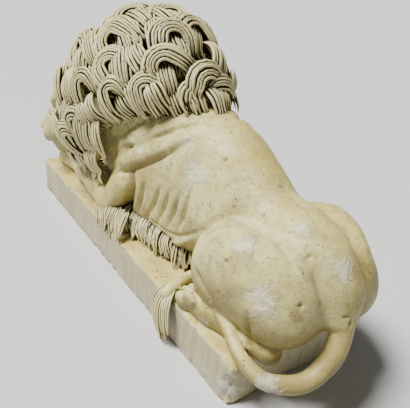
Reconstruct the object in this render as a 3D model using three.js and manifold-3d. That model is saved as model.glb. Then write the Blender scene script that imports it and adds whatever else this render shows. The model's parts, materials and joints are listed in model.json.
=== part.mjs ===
// A stone lion at rest on a rectangular plinth, carved in one block: head low and turned to its left,
// deep locks in the mane, tail swept round the left haunch with its tuft hanging over the plinth's edge.
// Millimetres. +X runs towards the head, +Y to the lion's left and +Z up, from the middle of the underside.
import * as THREE from "three";
import { mergeVertices } from "three/addons/utils/BufferGeometryUtils.js";
import Module from "manifold-3d";

// Driving dimensions
const PLINTH_LENGTH = 380;
const PLINTH_WIDTH = 142;
const PLINTH_HEIGHT = 40;
const PLINTH_ARRIS = 2.5;
const FACE_TURN = 30;
const FACE_DROOP = 30;
const LOCK_SPACING = 35;
const LOCK_PITCH = 47;
const LOCK_LENGTH = 53;
const LOCK_WIDTH = 13;
const LOCK_HEIGHT = 9;
const FRINGE_LOCKS = 9;
const TAIL_RADIUS = 8.5;
const RIB_COUNT = 4;
const RIB_PITCH = 11;
const RIB_DEPTH = 3.5;

const TOP = PLINTH_HEIGHT;
const EDGE = PLINTH_WIDTH / 2;
const STONE = new THREE.MeshStandardMaterial({ color: 0xd8cdae, roughness: 0.62, metalness: 0 });

const wasm = await Module();
wasm.setup();
const vector = (x, y, z) => new THREE.Vector3(x, y, z);
const degrees = THREE.MathUtils.degToRad;
const { clamp, lerp, smoothstep } = THREE.MathUtils;

// A closed three.js geometry as a solid that can be joined and cut.
function solidOf(geometry) {
  const bare = geometry.clone();
  bare.deleteAttribute("normal");
  bare.deleteAttribute("uv");
  const merged = mergeVertices(bare, 1e-3);
  const triVerts = new Uint32Array(merged.index.array);
  const vertProperties = merged.attributes.position.array;
  return new wasm.Manifold(new wasm.Mesh({ numProp: 3, vertProperties, triVerts }));
}

function geometryOf(solid) {
  const mesh = solid.getMesh();
  return new THREE.BufferGeometry()
    .setAttribute("position", new THREE.BufferAttribute(mesh.vertProperties, 3))
    .setIndex(new THREE.BufferAttribute(mesh.triVerts, 1));
}

// Lumps of the figure as signed distances, so that neighbours run into each other softly.
function lump(centre, radii, turn = [0, 0, 0]) {
  const place = new THREE.Matrix4().makeRotationFromEuler(new THREE.Euler(...turn.map(degrees), "ZYX"));
  const inward = place.setPosition(...centre).invert();
  const [rx, ry, rz] = radii;
  return (point) => {
    const q = point.clone().applyMatrix4(inward);
    const reach = Math.hypot(q.x / rx, q.y / ry, q.z / rz);
    const slope = Math.hypot(q.x / rx ** 2, q.y / ry ** 2, q.z / rz ** 2);
    return slope < 1e-9 ? -Math.min(rx, ry, rz) : (reach * (reach - 1)) / slope;
  };
}

function limb(from, to, startRadius, endRadius) {
  const start = vector(...from);
  const along = vector(...to).sub(start);
  return (point) => {
    const t = clamp(point.clone().sub(start).dot(along) / along.lengthSq(), 0, 1);
    return point.distanceTo(start.clone().addScaledVector(along, t)) - lerp(startRadius, endRadius, t);
  };
}

function melt(softness, ...forms) {
  return (point) =>
    forms.reduce((near, form) => {
      const next = form(point);
      const share = Math.max(softness - Math.abs(near - next), 0) / softness;
      return Math.min(near, next) - (share * share * softness) / 4;
    }, 1e6);
}

// Draws a capsule's skin outwards from its spine until it meets the form's surface.
function wrapped(form, from, to, capSteps, sides, steps) {
  const start = vector(...from);
  const end = vector(...to);
  const length = start.distanceTo(end);
  const capsule = new THREE.CapsuleGeometry(1, length, capSteps, sides, steps);
  const way = end.clone().sub(start).normalize();
  const turn = new THREE.Quaternion().setFromUnitVectors(vector(0, 1, 0), way);
  const middle = start.clone().add(end).multiplyScalar(0.5);
  const skin = capsule.attributes.position;
  for (let i = 0; i < skin.count; i++) {
    const at = vector().fromBufferAttribute(skin, i);
    const spine = vector(0, clamp(at.y, -length / 2, length / 2), 0);
    const outward = at.sub(spine).normalize().applyQuaternion(turn);
    const root = spine.applyQuaternion(turn).add(middle);
    let near = 0;
    let far = 0;
    while (form(root.clone().addScaledVector(outward, far)) < 0) {
      near = far;
      far += 3;
    }
    for (let halving = 0; halving < 12; halving++) {
      const mid = (near + far) / 2;
      if (form(root.clone().addScaledVector(outward, mid)) < 0) near = mid;
      else far = mid;
    }
    const met = root.addScaledVector(outward, near);
    skin.setXYZ(i, met.x, met.y, met.z);
  }
  return solidOf(capsule);
}

// Bends a closed cylinder along a path. place(t) gives the middle and the outward direction there.
function swept(place, width, height, sides, steps) {
  const rod = new THREE.CylinderGeometry(1, 1, 1, sides, steps);
  const skin = rod.attributes.position;
  const span = 0.5 / steps;
  for (let i = 0; i < skin.count; i++) {
    const t = clamp(0.5 - skin.getY(i), 0, 1);
    const { middle, out } = place(t);
    const along = place(Math.min(t + span, 1)).middle.sub(place(Math.max(t - span, 0)).middle).normalize();
    const side = vector().crossVectors(along, out).normalize();
    const up = vector().crossVectors(side, along);
    middle.addScaledVector(side, skin.getX(i) * width(t)).addScaledVector(up, skin.getZ(i) * height(t));
    skin.setXYZ(i, middle.x, middle.y, middle.z);
  }
  const made = solidOf(rod);
  return made.volume() < 0 ? solidOf(flipped(rod)) : made;
}

function flipped(geometry) {
  const index = geometry.index.array;
  for (let i = 0; i < index.length; i += 3) [index[i], index[i + 1]] = [index[i + 1], index[i]];
  return geometry;
}

function along(points) {
  return new THREE.CatmullRomCurve3(points.map((p) => vector(...p)), false, "centripetal");
}

// The plinth, with its arrises rubbed round.
function plinth() {
  const half = [PLINTH_LENGTH / 2 - PLINTH_ARRIS, PLINTH_WIDTH / 2 - PLINTH_ARRIS];
  const outline = new THREE.Shape([
    new THREE.Vector2(-half[0], -half[1]),
    new THREE.Vector2(half[0], -half[1]),
    new THREE.Vector2(half[0], half[1]),
    new THREE.Vector2(-half[0], half[1]),
  ]);
  const block = new THREE.ExtrudeGeometry(outline, {
    depth: PLINTH_HEIGHT - 2 * PLINTH_ARRIS,
    bevelThickness: PLINTH_ARRIS,
    bevelSize: PLINTH_ARRIS,
    bevelSegments: 2,
  });
  return solidOf(block.translate(0, 0, PLINTH_ARRIS));
}

// Trunk, haunches and shoulders. side is 1 on the lion's left and -1 on its right.
const haunch = (side) =>
  melt(10,
    lump([-163, side * 38, 85], [54, 25, 43], [0, 8, side * 15]),
    lump([-131, side * 47, 81], [23, 17, 32]),
    lump([-185, side * 31, 72], [30, 27, 35]));
const shoulder = (side) =>
  melt(10,
    lump([8, side * 36, 100], [34, 20, 50], [0, 12, 0]),
    limb([20, side * 46, 86], [36, side * 54, 58], 17, 13));
const trunk = melt(26,
  lump([-172, 0, 92], [42, 40, 40]),
  lump([-125, 0, 95], [62, 37, 44]),
  lump([-62, 0, 107], [70, 46, 65]),
  lump([5, 0, 114], [70, 50, 68]),
  lump([70, 0, 105], [50, 48, 60]),
  ...[1, -1].map((side) => limb([12, side * 36, 62], [-62, side * 30, 70], 9, 7)));

// Two rolls of loose skin cross the withers behind the mane and run down to each elbow.
const skinRoll = (side, back, radius) =>
  melt(4,
    limb([46 - back, side * 50, 88], [8 - back, side * 49, 122], radius - 1, radius),
    limb([8 - back, side * 49, 122], [-22 - back, side * 38, 150], radius, radius),
    limb([-22 - back, side * 38, 150], [-44 - back, side * 16, 166], radius, radius - 2),
    limb([-44 - back, side * 16, 166], [-50 - back, 0, 169], radius - 2, radius - 3));
const body = melt(6, trunk,
  haunch(1), haunch(-1), shoulder(1), shoulder(-1),
  skinRoll(1, 0, 9), skinRoll(-1, 0, 9), skinRoll(1, 17, 8), skinRoll(-1, 17, 8));

// Where the flank's skin is at a given length and height.
function flankAt(x, side, z) {
  let near = 0;
  let far = 80;
  for (let halving = 0; halving < 12; halving++) {
    const mid = (near + far) / 2;
    if (body(vector(x, side * mid, z)) < 0) near = mid;
    else far = mid;
  }
  return [x, side * near, z];
}

// Grooves between the ribs, sloping back and up across the flank.
function ribGrooves(side) {
  const grooves = [];
  for (let rib = 0; rib < RIB_COUNT; rib++) {
    const x = -20 - rib * RIB_PITCH;
    const slope = [[9, 64], [2, 84], [-6, 102], [-13, 116]];
    const path = along(slope.map(([forward, z]) => flankAt(x + forward, side, z)));
    const place = (t) => ({ middle: path.getPoint(t), out: vector(0, -side, 0) });
    const taper = (t) => Math.sin(Math.PI * clamp(t, 0.12, 0.88));
    grooves.push(swept(place, (t) => 4 * taper(t), (t) => RIB_DEPTH * taper(t), 3, 2));
  }
  return grooves;
}

// The head, in its own frame: forward to the nose, left and up.
const headFrame = new THREE.Matrix4()
  .makeRotationFromEuler(new THREE.Euler(0, degrees(FACE_DROOP), degrees(FACE_TURN), "ZYX"))
  .setPosition(122, 32, 124);
const onHead = (x, y, z) => vector(x, y, z).applyMatrix4(headFrame);
const headInward = headFrame.clone().invert();
const inHead = (form) => (point) => form(point.clone().applyMatrix4(headInward));
const pair = (make) => [make(1), make(-1)];
const head = melt(6,
  melt(14,
    lump([0, 0, 4], [42, 35, 38]),
    limb([26, 0, -2], [60, 0, -6], 25, 19),
    ...pair((s) => lump([14, s * 22, -10], [24, 16, 22])),
    lump([48, 0, -24], [26, 16, 12])),
  limb([22, 0, 24], [68, 0, 8], 11, 8),
  ...pair((s) => lump([30, s * 17, 24], [13, 11, 8], [0, 24, s * -18])),
  ...pair((s) => lump([64, s * 10, -8], [16, 12, 12])),
  lump([76, 0, 5], [8, 11, 7]),
  lump([66, 0, -27], [12, 11, 9]));

// A cutter that follows points given on the head.
function headCut(points, out, width, height, steps) {
  const path = along(points);
  const way = onHead(0, 0, 0).sub(onHead(...out)).normalize();
  const place = (t) => ({ middle: path.getPoint(t).applyMatrix4(headFrame), out: way });
  return swept(place, () => width, height, 3, steps);
}

function eyesAndMouth() {
  const cuts = [];
  for (const s of [1, -1]) {
    const lid = [[38, s * 24, 12], [44, s * 21, 9.5], [49, s * 14.5, 8]];
    const lip = [[44, s * 24, -16], [56, s * 22, -20], [70, s * 16, -19], [81, s * 5, -15]];
    const nostril = [[82, s * 4, 4], [84, s * 6.5, 1], [81, s * 9, 0]];
    cuts.push(headCut(lid, [1, s, 0.6], 2.2, () => 3, 2));
    cuts.push(headCut(lip, [0.3, s, 0], 2.8, (t) => lerp(4, 6, t), 3));
    cuts.push(headCut(nostril, [1, 0, 0], 2.2, () => 3, 2));
  }
  return cuts;
}

// The mane's own mass. Its hair springs from the crown, runs back and falls with its weight.
const dome = melt(20,
  lump([52, 2, 130], [88, 60, 94]),
  lump([98, 18, 130], [52, 52, 62], [0, 0, FACE_TURN]));
const maneForm = melt(8, dome, trunk);
const faceWay = onHead(1, 0, 0.1).sub(onHead(0, 0, 0)).normalize();
const hairPull = faceWay.clone().multiplyScalar(-0.2).add(vector(-0.55, 0, -0.8)).normalize();

function outward(point) {
  const here = maneForm(point);
  const rise = (x, y, z) => maneForm(point.clone().add(vector(x, y, z))) - here;
  return vector(rise(0.4, 0, 0), rise(0, 0.4, 0), rise(0, 0, 0.4)).normalize();
}

function settled(point) {
  for (let turn = 0; turn < 4; turn++) point.addScaledVector(outward(point), -maneForm(point));
  return point;
}

// One hair from the mane's hem up to the face, in points a few millimetres apart.
const HAIR_STEP = 4;
function hairUpFrom(seed) {
  const hair = [];
  let at = settled(seed.clone());
  for (let step = 0; step < 70; step++) {
    const out = outward(at);
    const up = hairPull.clone().negate();
    up.addScaledVector(out, -up.dot(out));
    const inFace = at.clone().applyMatrix4(headInward).x > 16;
    if (inFace || up.length() < 0.12) break;
    up.normalize();
    hair.push({ at: at.clone(), out, up });
    at = settled(at.addScaledVector(up, HAIR_STEP));
  }
  return hair;
}

// A lock lies along a hair from its root to its tip, with a bend to one side.
function lockOn(hair, tip, length, bend, width) {
  const count = Math.round(length / HAIR_STEP);
  const points = [];
  for (let i = Math.min(tip + count, hair.length - 1); i >= tip; i--) {
    const t = (tip + count - i) / count;
    const { at, out, up } = hair[i];
    const side = vector().crossVectors(out, up);
    const lift = LOCK_HEIGHT * (1.6 * Math.sin(Math.PI * Math.min(1, 0.1 + 0.82 * t)) - 0.75);
    const sway = bend * Math.sin(Math.PI * (0.15 + 1.1 * t));
    points.push({ at: at.clone().addScaledVector(side, sway).addScaledVector(out, lift), out });
  }
  const curve = new THREE.CatmullRomCurve3(points.map((p) => p.at));
  const place = (t) => ({
    middle: curve.getPoint(t),
    out: points[Math.round(t * (points.length - 1))].out.clone(),
  });
  const belly = (t) => 0.6 + 0.5 * Math.sin(Math.PI * Math.min(1, 0.12 + t));
  const wide = (t) => width * belly(t) * (1 - 0.8 * smoothstep(t, 0.6, 1));
  const high = (t) => LOCK_HEIGHT * (1 - 0.7 * smoothstep(t, 0.6, 1));
  return swept(place, wide, high, 3, 3);
}

// The mane's hem runs from the withers down behind each cheek to the plinth and across the chest.
function maneLocks() {
  const halfHem = (side) => [
    [-43, side * 18, 167], [-10, side * 39, 158], [16, side * 52, 148], [48, side * 60, 126],
    [66, side * 64, 96], [76, side * 66, 66], [96, side * 64, 50],
  ];
  const round = [[-30, 0, 184], ...halfHem(1), [140, 30, 48], [146, -10, 48], ...halfHem(-1).reverse()];
  const hem = new THREE.CatmullRomCurve3(round.map((p) => vector(...p)), true, "centripetal");
  const count = 2 * Math.round(hem.getLength() / LOCK_SPACING / 2);
  const locks = [];
  for (let line = 0; line < count; line++) {
    const seed = hem.getPointAt(line / count);
    if (seed.x > 100) continue;
    const hair = hairUpFrom(seed);
    const stagger = (line % 2) * (LOCK_PITCH / 2);
    for (let reach = stagger; reach / HAIR_STEP < hair.length - 4; reach += LOCK_PITCH) {
      const tip = Math.round(reach / HAIR_STEP);
      const closeness = reach / (hair.length * HAIR_STEP);
      const bend = ((line + Math.round(reach / LOCK_PITCH)) % 2 ? 1 : -1) * LOCK_WIDTH * 0.35;
      locks.push(lockOn(hair, tip, LOCK_LENGTH, bend, LOCK_WIDTH * (1.05 - 0.35 * closeness)));
    }
  }
  return locks;
}

const sphere = (centre, radii) =>
  solidOf(new THREE.SphereGeometry(1, 6, 4).scale(...radii).translate(...centre));

// Legs lie along the plinth: forelegs out to the front, hind feet under the haunches.
function foreleg(side) {
  const forearm = melt(8,
    limb([38, side * 55, 56], [114, side * 47, 53], 15, 12.5),
    limb([114, side * 47, 53], [150, side * 43, 51], 12.5, 13.5),
    lump([158, side * 43, 51], [20, 17, 13]));
  const pieces = [wrapped(forearm, [40, side * 55, 55], [152, side * 43, 51], 2, 8, 4)];
  for (let toe = 0; toe < 4; toe++) {
    const across = (toe - 1.5) * 8.4;
    pieces.push(sphere([172 - Math.abs(toe - 1.5) * 3, side * 43 + across, 48], [10, 5, 9]));
  }
  return pieces;
}

function hindFoot(side) {
  const sole = melt(6,
    limb([-192, side * 44, 50], [-140, side * 55, 49], 13, 11),
    limb([-140, side * 55, 49], [-122, side * 57, 49], 11, 12));
  const pieces = [wrapped(sole, [-190, side * 44, 50], [-124, side * 57, 49], 2, 8, 3)];
  for (let toe = 0; toe < 4; toe++) {
    const across = (toe - 1.5) * 7;
    pieces.push(sphere([-112 - Math.abs(toe - 1.5) * 3, side * 57 + across, 47], [9, 4.2, 7.5]));
  }
  return pieces;
}

// The tail leaves the rump, swings out behind the plinth, lies along the foot and comes out under the knee.
function tail() {
  const path = along([
    [-186, -3, 108], [-206, -2, 98], [-220, 4, 80], [-227, 13, 62], [-227, 23, 50], [-226, 35, 44],
    [-221, 48, 43], [-208, 61, 43], [-188, 64, 47], [-168, 60, 53], [-148, 56, 58], [-126, 48, 58],
    [-106, 38, 52], [-94, 32, 47], [-93, 44, 46], [-97, 58, 47], [-100, 69, 46], [-102, 76, 40],
  ]);
  const frames = path.computeFrenetFrames(200);
  const place = (t) => ({ middle: path.getPointAt(t), out: frames.normals[Math.round(t * 200)].clone() });
  const root = (t) => 1 + 0.9 * (1 - smoothstep(t, 0, 0.17));
  const thick = (t) => TAIL_RADIUS * root(t) * (1 - 0.4 * smoothstep(t, 0.12, 0.6));
  return swept(place, thick, thick, 7, 26);
}

// A tapering tuft of hair from one point to another by way of a third, bulging outwards.
function tuft(from, over, to, width, height, out) {
  const path = along([from, over, to]);
  const place = (t) => ({ middle: path.getPoint(t), out: vector(...out) });
  const swell = (t) => 0.55 + 0.6 * Math.sin(Math.PI * (0.1 + 0.75 * t)) - 0.55 * smoothstep(t, 0.75, 1);
  return swept(place, (t) => width * swell(t), (t) => height * swell(t), 3, 3);
}

function tailTuft() {
  return [-1, 0, 1].map((lock) => {
    const tip = [-107 + lock * 3, EDGE + 2, 5 + Math.abs(lock) * 4];
    return tuft([-101 + lock * 3, 73, 46], [-103 + lock * 6, EDGE + 4, 28], tip, 5.5, 5, [0, 1, 0.1]);
  });
}

function elbowTuft(side) {
  const locks = [];
  for (let lock = 0; lock < 4; lock++) {
    const x = 35 - lock * 11;
    const tip = [x - 4 + lock, side * (EDGE + 1.5), 41 - 4 * (lock % 2) - lock];
    locks.push(tuft([x + 8, side * 58, 60], [x, side * 67, 50], tip, 6, 4.5, [0, side, 0.8]));
  }
  return locks;
}

// Belly hair hangs in a fringe from the flank to the plinth.
function bellyFringe(side) {
  const hem = along([
    [0, side * 60, TOP], [-27, side * 55, TOP], [-48, side * 51, TOP],
    [-68, side * 44, TOP], [-88, side * 31, TOP],
  ]);
  const locks = [];
  for (let lock = 0; lock < FRINGE_LOCKS; lock++) {
    const foot = hem.getPoint(lock / (FRINGE_LOCKS - 1));
    const lean = 3 * Math.sin(2.2 * lock);
    const root = [foot.x + 7, foot.y - side * 20, TOP + 25];
    const over = [foot.x + 2, foot.y - side * 7, TOP + 16];
    locks.push(tuft(root, over, [foot.x - 5 + lean, foot.y - side, TOP + 1], 6, 4, [0, side, 0.8]));
  }
  return locks;
}

const sides = (make) => [...make(1), ...make(-1)];
const pieces = [
  plinth(),
  wrapped(body, [-170, 0, 84], [60, 0, 96], 4, 24, 20),
  wrapped(dome, [40, 0, 120], [100, 18, 124], 4, 16, 3),
  wrapped(inHead(head), onHead(-6, 0, 0).toArray(), onHead(58, 0, -6).toArray(), 4, 18, 6),
  tail(), ...tailTuft(),
  ...sides(foreleg), ...sides(hindFoot), ...sides(elbowTuft), ...sides(bellyFringe),
  ...maneLocks(),
];
const joined = wasm.Manifold.union(pieces);
const cut = joined.subtract(wasm.Manifold.union([...sides(ribGrooves), ...eyesAndMouth()]));

// Overlapping locks can seal small hollows between them. Only the outer skin is kept, so these are filled.
const [carved] = cut.decompose().sort((one, other) => other.volume() - one.volume());

const statue = new THREE.Mesh(geometryOf(carved), STONE);
statue.name = "lion_statue";
const group = new THREE.Group();
group.add(statue);
export default group;
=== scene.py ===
# %% [markdown]
# # A stone lion at rest on its plinth
# The real object is one block of cream stone. A lion lies on a rectangular plinth with its head low and
# turned to its left. The mane is cut in deep skeins of hair and the rest of the coat is smooth. The stone
# has yellowed, with dirt in the carving and pale scuffs where it was knocked.
# The lesson follows a carver's order: the block, the masses, the hair, the small cuts, and last the wear.

# %% Load the frame
import json
import math

import bmesh
import bpy
import numpy as np
from mathutils import Euler, Matrix, Vector, noise
from mathutils.bvhtree import BVHTree

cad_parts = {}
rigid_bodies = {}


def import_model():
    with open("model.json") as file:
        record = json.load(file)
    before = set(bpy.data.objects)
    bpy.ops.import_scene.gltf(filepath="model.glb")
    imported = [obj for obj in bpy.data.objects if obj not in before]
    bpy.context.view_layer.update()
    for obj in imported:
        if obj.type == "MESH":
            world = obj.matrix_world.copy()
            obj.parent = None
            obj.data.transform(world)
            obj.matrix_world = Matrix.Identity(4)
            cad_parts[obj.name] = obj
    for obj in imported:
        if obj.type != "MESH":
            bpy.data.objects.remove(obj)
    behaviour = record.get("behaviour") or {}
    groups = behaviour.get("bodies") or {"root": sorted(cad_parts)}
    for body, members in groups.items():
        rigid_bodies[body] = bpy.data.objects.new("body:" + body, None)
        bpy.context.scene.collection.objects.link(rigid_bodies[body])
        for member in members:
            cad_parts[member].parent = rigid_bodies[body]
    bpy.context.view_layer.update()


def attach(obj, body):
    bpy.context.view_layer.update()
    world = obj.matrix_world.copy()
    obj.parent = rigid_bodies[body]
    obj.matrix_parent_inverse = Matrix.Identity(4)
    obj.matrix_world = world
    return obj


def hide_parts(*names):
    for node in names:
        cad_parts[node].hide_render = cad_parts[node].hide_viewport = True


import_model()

# %% [markdown]
# ## Camera, floor and light
# The statue was seen from behind its left haunch and from above, close enough for strong perspective. The
# camera below was worked out from the corners of the plinth. Its place is given in metres and its turn in
# degrees.

# %% Camera
IMAGE_WIDTH = 410
IMAGE_HEIGHT = 408
FOCAL_PIXELS = 502.4
CAMERA_PLACE = Vector((-0.368, 0.255, 0.3112))
CAMERA_AZIMUTH = math.radians(231.7)
CAMERA_ELEVATION = math.radians(29.1)
CAMERA_ROLL = math.radians(7.1)
SENSOR = 36.0

camera_back = Vector((
    math.sin(CAMERA_AZIMUTH) * math.cos(CAMERA_ELEVATION),
    -math.cos(CAMERA_AZIMUTH) * math.cos(CAMERA_ELEVATION),
    math.sin(CAMERA_ELEVATION)))
level = camera_back.cross(Vector((0, 0, 1))).normalized() * -1
upright = camera_back.cross(level)
camera_right = level * math.cos(CAMERA_ROLL) + upright * math.sin(CAMERA_ROLL)
camera_up = upright * math.cos(CAMERA_ROLL) - level * math.sin(CAMERA_ROLL)
camera_turn = Matrix((camera_right, camera_up, camera_back)).transposed().to_4x4()

camera = bpy.data.objects.new("camera", bpy.data.cameras.new("camera"))
camera.data.sensor_width = SENSOR
camera.data.lens = FOCAL_PIXELS * SENSOR / IMAGE_WIDTH
camera.data.clip_start = 0.01
camera.matrix_world = Matrix.Translation(CAMERA_PLACE) @ camera_turn
bpy.context.scene.collection.objects.link(camera)
bpy.context.scene.camera = camera
print("camera lens in mm:", round(camera.data.lens, 2))

# %% Floor and soft light
LIGHT_FROM = Vector((0.35, 0.5, 1.15))
LIGHT_SPREAD = math.radians(22)
LIGHT_STRENGTH = 7.8
ROOM_STRENGTH = 0.16
FLOOR_COLOUR = (0.55, 0.55, 0.54, 1)
FLOOR_ROUGHNESS = 0.9
FLOOR_REACH = 8

lamp = bpy.data.objects.new("overhead softbox", bpy.data.lights.new("overhead softbox", "SUN"))
lamp.data.angle = LIGHT_SPREAD
lamp.data.energy = LIGHT_STRENGTH
lamp.rotation_euler = (-LIGHT_FROM).to_track_quat("-Z", "Y").to_euler()
bpy.context.scene.collection.objects.link(lamp)
world = bpy.data.worlds.new("pale room")
bpy.context.scene.world = world
world.use_nodes = True
world.node_tree.nodes["Background"].inputs["Color"].default_value = (1, 1, 1, 1)
world.node_tree.nodes["Background"].inputs["Strength"].default_value = ROOM_STRENGTH

floor_mesh = bmesh.new()
bmesh.ops.create_grid(floor_mesh, x_segments=1, y_segments=1, size=FLOOR_REACH)
floor = bpy.data.objects.new("floor", bpy.data.meshes.new("floor"))
floor_mesh.to_mesh(floor.data)
floor_mesh.free()
floor_paint = bpy.data.materials.new("pale floor")
floor_paint.use_nodes = True
floor_look = floor_paint.node_tree.nodes["Principled BSDF"]
floor_look.inputs["Base Color"].default_value = FLOOR_COLOUR
floor_look.inputs["Roughness"].default_value = FLOOR_ROUGHNESS
floor.data.materials.append(floor_paint)
bpy.context.scene.collection.objects.link(floor)
print("floor and lights are set")

# %% [markdown]
# ## Masses as distances
# A carver sees the lion as a few swelling masses that run into each other. Here each mass is a function that
# tells how far a point is from its skin: below zero inside, above zero outside. Two such functions melt
# together with a soft smallest value, which gives the gentle valleys of muscle. All sizes are in millimetres.

# %% Lumps, limbs and how they melt
MM = 0.001
PLINTH = (380.0, 142.0, 40.0)
TOP = PLINTH[2]
EDGE = PLINTH[1] / 2


def lump(centre, radii, turn=(0, 0, 0)):
    spin = np.array(Euler([math.radians(angle) for angle in turn], "XYZ").to_matrix())
    middle = np.array(centre, float)
    reach = np.array(radii, float)

    def distance(points):
        scaled = (points - middle) @ spin / reach
        length = np.linalg.norm(scaled, axis=1)
        slope = np.linalg.norm(scaled / reach, axis=1)
        return np.where(slope < 1e-9, -reach.min(), length * (length - 1) / np.maximum(slope, 1e-9))
    return distance


def limb(start, end, start_radius, end_radius):
    foot = np.array(start, float)
    run = np.array(end, float) - foot

    def distance(points):
        share = np.clip((points - foot) @ run / (run @ run), 0, 1)
        middle = foot + share[:, None] * run
        return np.linalg.norm(points - middle, axis=1) - (start_radius + share * (end_radius - start_radius))
    return distance


def melt(softness, *forms):
    def distance(points):
        near = forms[0](points)
        for form in forms[1:]:
            other = form(points)
            share = np.maximum(softness - np.abs(near - other), 0) / softness
            near = np.minimum(near, other) - share * share * softness / 4
        return near
    return distance


def shrunk(form, depth):
    return lambda points: form(points) + depth


def chain(points, radii):
    pairs = zip(points, points[1:], radii, radii[1:])
    return [limb(start, end, first, last) for start, end, first, last in pairs]


def smoothstep(value, low, high):
    share = np.clip((value - low) / (high - low), 0, 1)
    return share * share * (3 - 2 * share)


def unit(vectors):
    return vectors / np.maximum(np.linalg.norm(vectors, axis=-1, keepdims=True), 1e-9)


print("the plinth is", PLINTH, "mm")


# %% Trunk, haunches and shoulders
def haunch(side):
    return melt(
        10,
        lump((-163, side * 38, 85), (54, 25, 43), (0, 8, side * 15)),
        lump((-131, side * 47, 81), (23, 17, 32)),
        lump((-185, side * 31, 78), (30, 28, 28)))


def shoulder(side):
    return melt(
        10,
        lump((8, side * 36, 100), (34, 20, 50), (0, 12, 0)),
        limb((20, side * 46, 86), (36, side * 54, 58), 17, 13))


both_sides = (1, -1)
trunk = melt(
    26,
    lump((-172, 0, 92), (42, 40, 40)),
    lump((-125, 0, 95), (62, 37, 44)),
    lump((-62, 0, 107), (70, 46, 65)),
    lump((5, 0, 114), (70, 50, 68)),
    lump((70, 0, 105), (50, 48, 60)),
    *[limb((12, side * 36, 62), (-62, side * 30, 70), 9, 7) for side in both_sides])
tail_root = chain([(-158, -4, 112), (-190, -4, 106), (-208, -1, 96), (-220, 5, 80)], [22, 17, 13, 9.5])
body = melt(
    6, trunk,
    *[haunch(side) for side in both_sides],
    *[shoulder(side) for side in both_sides])
rump = melt(14, body, *tail_root)
print("depth at the middle of the trunk:", body(np.array([[-60.0, 0, 105]]))[0].round(1), "mm")

# %% [markdown]
# ## The head
# The head is worked out straight, looking along its own x axis, and then turned and drooped as a whole. Its
# face is a calm lion's face of plain proportions: a broad bridge, low brows, lowered lids, full whisker pads
# and a square chin.

# %% Head masses and face
FACE_TURN = 30
FACE_DROOP = 30
HEAD_PLACE = np.array((122.0, 32.0, 124.0))
head_spin = np.array(Euler((0, math.radians(FACE_DROOP), math.radians(FACE_TURN)), "XYZ").to_matrix())


def on_head(points):
    return np.array(points, float) @ head_spin.T + HEAD_PLACE


def to_head(points):
    return (points - HEAD_PLACE) @ head_spin


def head_pair(make):
    return [make(1), make(-1)]


skull = melt(
    14,
    lump((0, 0, 4), (42, 35, 38)),
    limb((26, 0, -2), (60, 0, -6), 25, 19),
    *head_pair(lambda side: lump((14, side * 22, -10), (24, 16, 22))),
    lump((48, 0, -24), (26, 16, 12)))
features = melt(
    5, skull,
    limb((22, 0, 24), (68, 0, 8), 11, 8),
    *head_pair(lambda side: lump((30, side * 17, 24), (13, 11, 8), (0, 24, side * -18))),
    *head_pair(lambda side: lump((64, side * 10, -8), (16, 12, 12))),
    lump((66, 0, -27), (12, 11, 9)))


def eyelids(side):
    upper = [(36, side * 25, 10), (41, side * 24.5, 14.5), (47, side * 20.5, 14.5), (51, side * 14, 10)]
    lower = [(36, side * 25, 9), (42, side * 24.5, 6), (48, side * 20, 6), (51, side * 14, 9)]
    return chain(upper, [1.8, 2.8, 2.8, 1.6]) + chain(lower, [1.4, 2.0, 2.0, 1.4])


head = melt(
    1.6, features,
    *head_pair(lambda side: lump((42, side * 19.5, 10.5), (7, 6, 5.5))),
    *eyelids(1), *eyelids(-1),
    lump((77, 0, 5), (7.5, 11, 6.5)),
    *head_pair(lambda side: lump((77, side * 7.5, 2.5), (6, 5, 4.5))))
print("nose tip:", on_head([(84, 0, 4)])[0].round(0), "mm")


# %% Legs and toes
TOES = 4
FORE_SIDE = 43
FORE_TOE_STEP = 8.4
HIND_SIDE = 57
HIND_TOE_STEP = 7


def toes_of(middle, step, front, parts):
    made = []
    for toe in range(TOES):
        outer = toe - (TOES - 1) / 2
        across = middle + outer * step
        tip = front - abs(outer) * 3
        made.append(melt(2, *[lump((tip - back, across, height), radii) for back, height, radii in parts]))
    return made


def foreleg(side):
    arm = [(38, side * 55, 56), (114, side * 47, 53), (150, side * FORE_SIDE, 51)]
    paw = lump((158, side * FORE_SIDE, 51), (20, 17, 13))
    toe_parts = [(0, 48, (10, 4.9, 9)), (11, 56, (8, 4.6, 6))]
    toes = toes_of(side * FORE_SIDE, FORE_TOE_STEP, 172, toe_parts)
    return melt(1.5, melt(8, *chain(arm, [15, 12.5, 13.5]), paw), *toes)


def hind_foot(side):
    heel_to_ball = [(-194, side * 43, 48), (-140, side * 55, 49), (-122, side * HIND_SIDE, 49)]
    toe_parts = [(0, 47, (9, 4.1, 7.5)), (10, 55.5, (8, 3.7, 6.5))]
    toes = toes_of(side * HIND_SIDE, HIND_TOE_STEP, -112, toe_parts)
    return melt(1.5, melt(6, *chain(heel_to_ball, [10, 11, 12])), *toes)


print("toes on each foot:", TOES)

# %% [markdown]
# ## Skins
# Each mass gets a skin. A ball of quads is stretched into a capsule along a spine inside the mass, and each
# of its points is pushed straight out until it meets the surface. All skins go into one bmesh, the clay.

# %% Pushing a ball out to the surface
PUSH_ROUNDS = 26
PUSH_SHARE = 0.8


def outermost(form, roots, ways):
    travel = np.zeros(len(roots))
    for turn in range(PUSH_ROUNDS):
        depth = form(roots + ways * travel[:, None])
        travel += np.clip(-PUSH_SHARE * depth, -6, 30)
    return roots + ways * travel[:, None]


def ball_in(bm, sides, rings):
    verts = bmesh.ops.create_uvsphere(bm, u_segments=sides, v_segments=rings, radius=1)["verts"]
    place = np.array([vert.co for vert in verts])
    along = np.arccos(np.clip(place[:, 2], -1, 1)) / math.pi
    around = np.arctan2(place[:, 1], place[:, 0]) % math.tau
    return verts, along, around


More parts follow.
